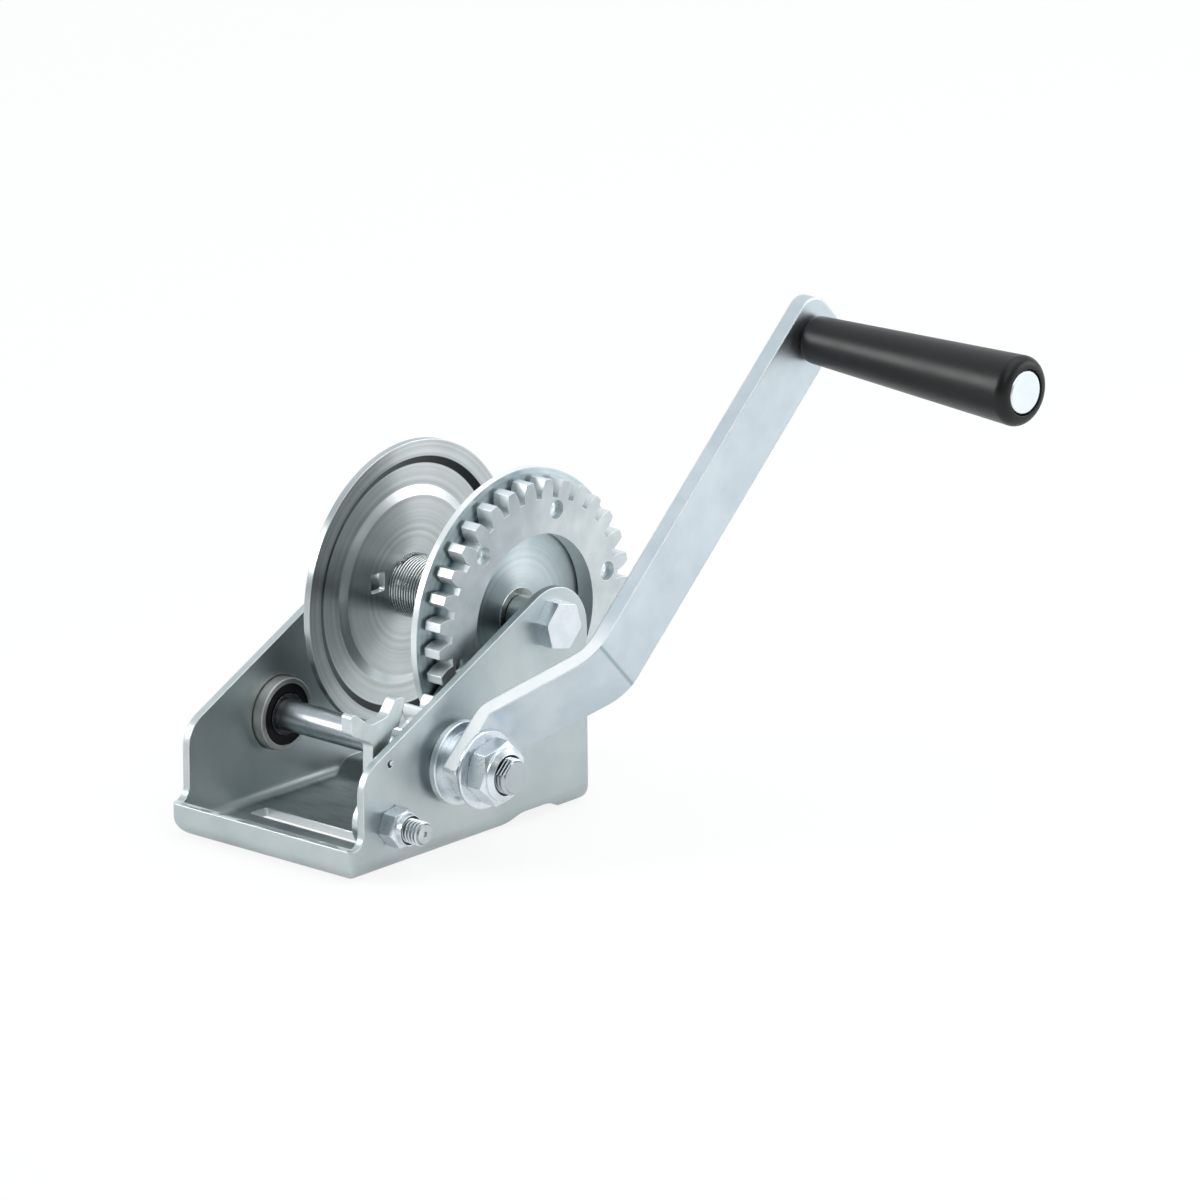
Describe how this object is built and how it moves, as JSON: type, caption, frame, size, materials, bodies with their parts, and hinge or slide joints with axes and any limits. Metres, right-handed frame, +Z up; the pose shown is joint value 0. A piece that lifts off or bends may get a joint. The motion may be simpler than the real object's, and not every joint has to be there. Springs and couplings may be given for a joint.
{
  "type": "hand winch",
  "caption": "Small hand winch: pressed plated frame, flanged drum with a side gear, pinion shaft with a joggled crank and black grip, and a sprung pawl.",
  "frame": {"origin": "middle of the underside of the base", "axes": "+X from the left plate to the crank side, +Y from the front lip to the rear, +Z up"},
  "size_m": [0.2582, 0.2215, 0.1897],
  "materials": {
    "zinc_frame": "zinc plated, satin",
    "zinc_flange": "zinc plated, turned",
    "zinc_gear": "zinc plated, satin",
    "zinc_arm": "zinc plated, satin",
    "zinc_fastener": "zinc plated, bright",
    "shaft_steel": "turned, bright",
    "bearing_steel": "ground",
    "seal_rubber": "matt",
    "insert_nylon": "satin",
    "bush_bronze": "plain",
    "spring_wire": "bright drawn",
    "grip_plastic": "satin black"
  },
  "bodies": {
    "frame": {"frame": "zinc_frame", "drum_bolt": "zinc_fastener", "drum_lock_nut": "zinc_fastener", "drum_nut_insert": "insert_nylon", "left_drum_spacer": "shaft_steel", "right_drum_spacer": "shaft_steel", "bearing_outer_ring": "bearing_steel", "bearing_balls": "bearing_steel", "bearing_seals": "seal_rubber", "right_bush": "bush_bronze", "pawl_bolt": "zinc_fastener", "pawl_bush": "shaft_steel", "pawl_lock_nut": "zinc_fastener", "pawl_nut_insert": "insert_nylon", "pawl_spring": "spring_wire"},
    "drum": {"left_flange": "zinc_flange", "right_flange": "zinc_flange", "drum_core": "zinc_flange", "drive_gear": "zinc_gear", "gear_rivets": "zinc_gear"},
    "crank": {"drive_shaft": "shaft_steel", "pinion": "zinc_gear", "bearing_inner_ring": "bearing_steel", "shaft_clip": "shaft_steel", "crank_spacer": "zinc_fastener", "crank_back_washer": "zinc_fastener", "crank_arm": "zinc_arm", "crank_front_washer": "zinc_fastener", "crank_lock_nut": "zinc_fastener", "crank_nut_insert": "insert_nylon", "grip_spindle": "zinc_fastener", "grip_washer": "zinc_fastener"},
    "grip": {"grip": "grip_plastic"},
    "pawl": {"pawl": "zinc_gear"}
  },
  "joints": [
    {"name": "drum_spin", "type": "hinge", "parent": "frame", "child": "drum", "pos_m": [0, 0.0462, 0.0752], "axis": [1, 0, 0], "continuous": true},
    {"name": "crank_spin", "type": "hinge", "parent": "frame", "child": "crank", "pos_m": [0, -0.0097, 0.03518], "axis": [1, 0, 0], "continuous": true},
    {"name": "grip_spin", "type": "hinge", "parent": "crank", "child": "grip", "pos_m": [0.0952, 0.14035, 0.17413], "axis": [1, 0, 0], "continuous": true},
    {"name": "pawl_pivot", "type": "hinge", "parent": "frame", "child": "pawl", "pos_m": [0.038, -0.0434, 0.0181], "axis": [1, 0, 0], "range_deg": [0, 22], "stiffness_Nm_per_rad": 0.05, "springref_deg": -22.92, "deforming": ["pawl_spring"]}
  ],
  "couplings": [
    {"joint": "crank_spin", "follows": "drum_spin", "ratio": -2.6667}
  ]
}
